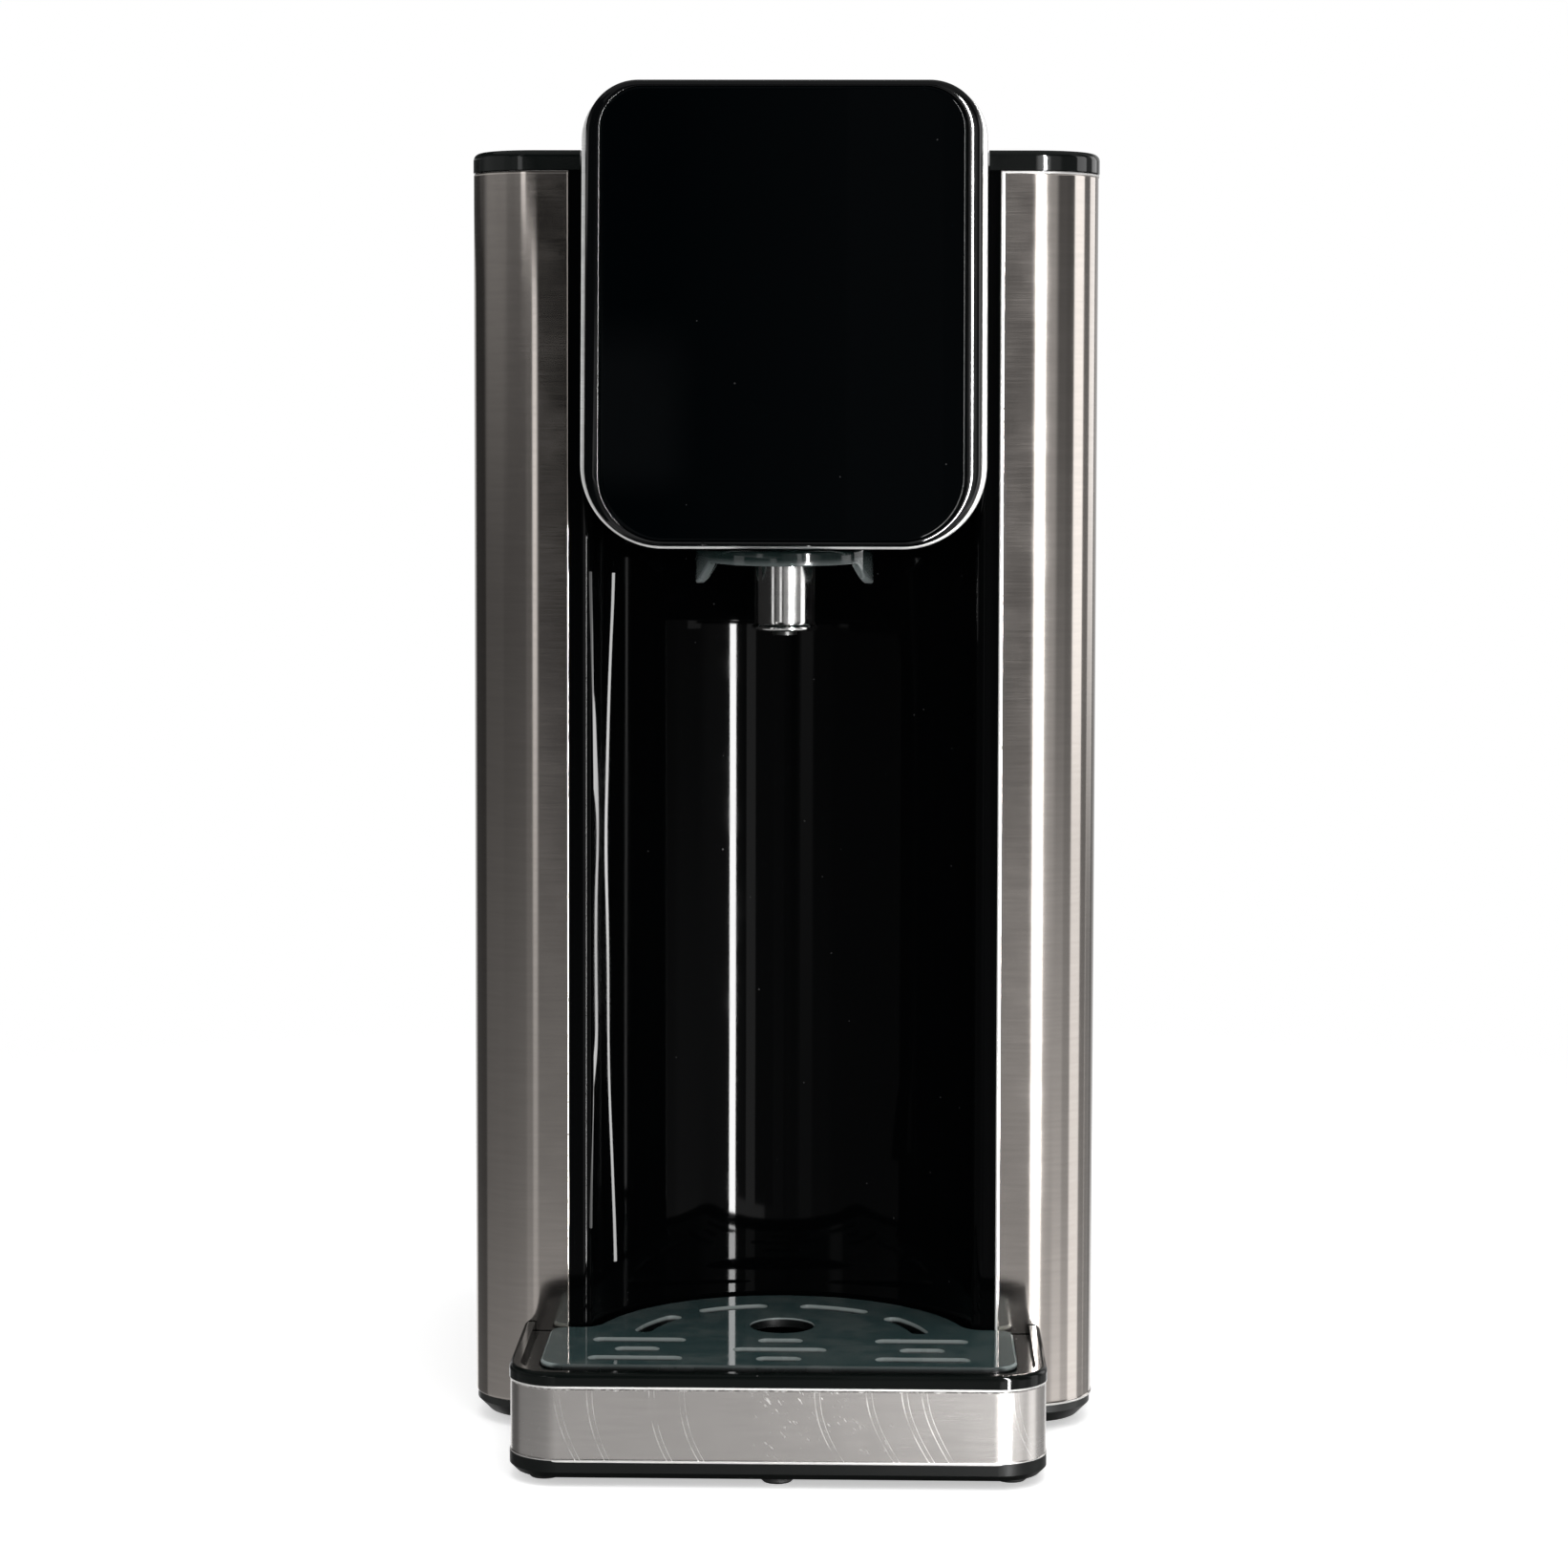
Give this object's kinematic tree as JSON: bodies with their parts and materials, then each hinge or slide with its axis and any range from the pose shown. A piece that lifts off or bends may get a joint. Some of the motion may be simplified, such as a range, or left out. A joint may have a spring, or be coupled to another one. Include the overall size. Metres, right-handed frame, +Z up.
{
  "type": "countertop water dispenser",
  "caption": "Countertop hot water dispenser: touch head and spout over a concave cup bay, steel columns, pull-out drip tray with lift-out grille, and lift-off rear tank with a hinged lid.",
  "frame": {"origin": "centre of the footprint at table level, under the middle of the bounding box", "axes": "+Z up, -Y towards the person using it, +X to that person's right"},
  "size_m": [0.16, 0.244, 0.343],
  "materials": {
    "brushed_steel": "fine brushed, warm grey",
    "gloss_black": "piano gloss",
    "satin_black": "fine satin",
    "bright_trim": "polished",
    "control_glass": "back-printed black, polished",
    "smoked_collar": "smoked, semi clear",
    "spout_steel": "polished",
    "grille_slate": "glossy slate grey",
    "tank_clear": "clear, light smoke tint",
    "rubber": "matt",
    "silicone": "milky, satin",
    "white_plastic": "satin",
    "board_green": "lacquered board",
    "component_grey": "moulded",
    "cast_aluminium": "as cast",
    "zinc_steel": "zinc plated",
    "brass": "plain"
  },
  "bodies": {
    "housing": {"left_steel_panel": "brushed_steel", "right_steel_panel": "brushed_steel", "front_housing": "gloss_black", "rear_wall": "satin_black", "rear_screws": "zinc_steel", "top_cover": "gloss_black", "base_frame": "satin_black", "bottom_plate": "satin_black", "base_screws": "zinc_steel", "rubber_feet": "rubber", "dock_housing": "satin_black", "dock_seal": "silicone", "cord_gland": "rubber", "head_shell": "gloss_black", "head_frame": "gloss_black", "head_trim": "bright_trim", "control_glass": "control_glass", "display_board": "board_green", "display_module": "component_grey", "touch_springs": "brass", "spout_shroud": "smoked_collar", "spout_tube": "spout_steel", "spout_insert": "white_plastic", "spout_seal": "silicone", "outlet_chamber": "white_plastic", "heater_body": "cast_aluminium", "heater_terminals": "brass", "thermal_cutouts": "component_grey", "temperature_sensor": "brass", "heater_clamps": "zinc_steel", "clamp_screws": "zinc_steel", "pump_motor": "zinc_steel", "pump_volute": "white_plastic", "pump_cover": "white_plastic", "pump_mount": "rubber", "pump_bracket": "zinc_steel", "hose_clips": "zinc_steel", "inlet_hose": "silicone", "pump_hose": "silicone", "outlet_hose": "silicone", "power_board": "board_green", "power_components": "component_grey", "board_posts": "white_plastic", "panel_cable": "component_grey", "reed_sensor": "component_grey"},
    "drip_tray": {"tray_tub": "satin_black", "tray_band": "brushed_steel", "tray_feet": "rubber"},
    "grille": {"drip_grille": "grille_slate"},
    "tank": {"tank_shell": "tank_clear", "lid_hinge_brackets": "satin_black", "lid_hinge_pins": "spout_steel", "valve_body": "white_plastic", "valve_spring": "spout_steel", "tank_filter": "white_plastic"},
    "lid": {"tank_lid": "satin_black"},
    "poppet": {"valve_poppet": "white_plastic"},
    "float": {"level_float": "white_plastic"},
    "impeller": {"pump_impeller": "white_plastic"}
  },
  "joints": [
    {"name": "tray_slide", "type": "slide", "parent": "housing", "child": "drip_tray", "axis": [0, -1, 0], "range_m": [0, 0.12]},
    {"name": "grille_lift", "type": "slide", "parent": "drip_tray", "child": "grille", "axis": [0, 0, 1], "range_m": [0, 0.06]},
    {"name": "tank_lift", "type": "slide", "parent": "housing", "child": "tank", "axis": [0, 0, 1], "range_m": [0, 0.3]},
    {"name": "lid_hinge", "type": "hinge", "parent": "tank", "child": "lid", "pos_m": [0, 0.0481, 0.3226], "axis": [1, 0, 0], "range_deg": [0, 95]},
    {"name": "poppet_slide", "type": "slide", "parent": "tank", "child": "poppet", "axis": [0, 0, 1], "range_m": [-0.0027, 0], "deforming": ["valve_spring"]},
    {"name": "float_slide", "type": "slide", "parent": "tank", "child": "float", "axis": [0, 0, 1], "range_m": [0, 0.0125]},
    {"name": "impeller_spin", "type": "hinge", "parent": "housing", "child": "impeller", "pos_m": [0, 0.01, 0.032], "axis": [0, 1, 0], "continuous": true}
  ],
  "couplings": [
    {"joint": "poppet_slide", "follows": "tank_lift", "ratio": -0.009}
  ]
}
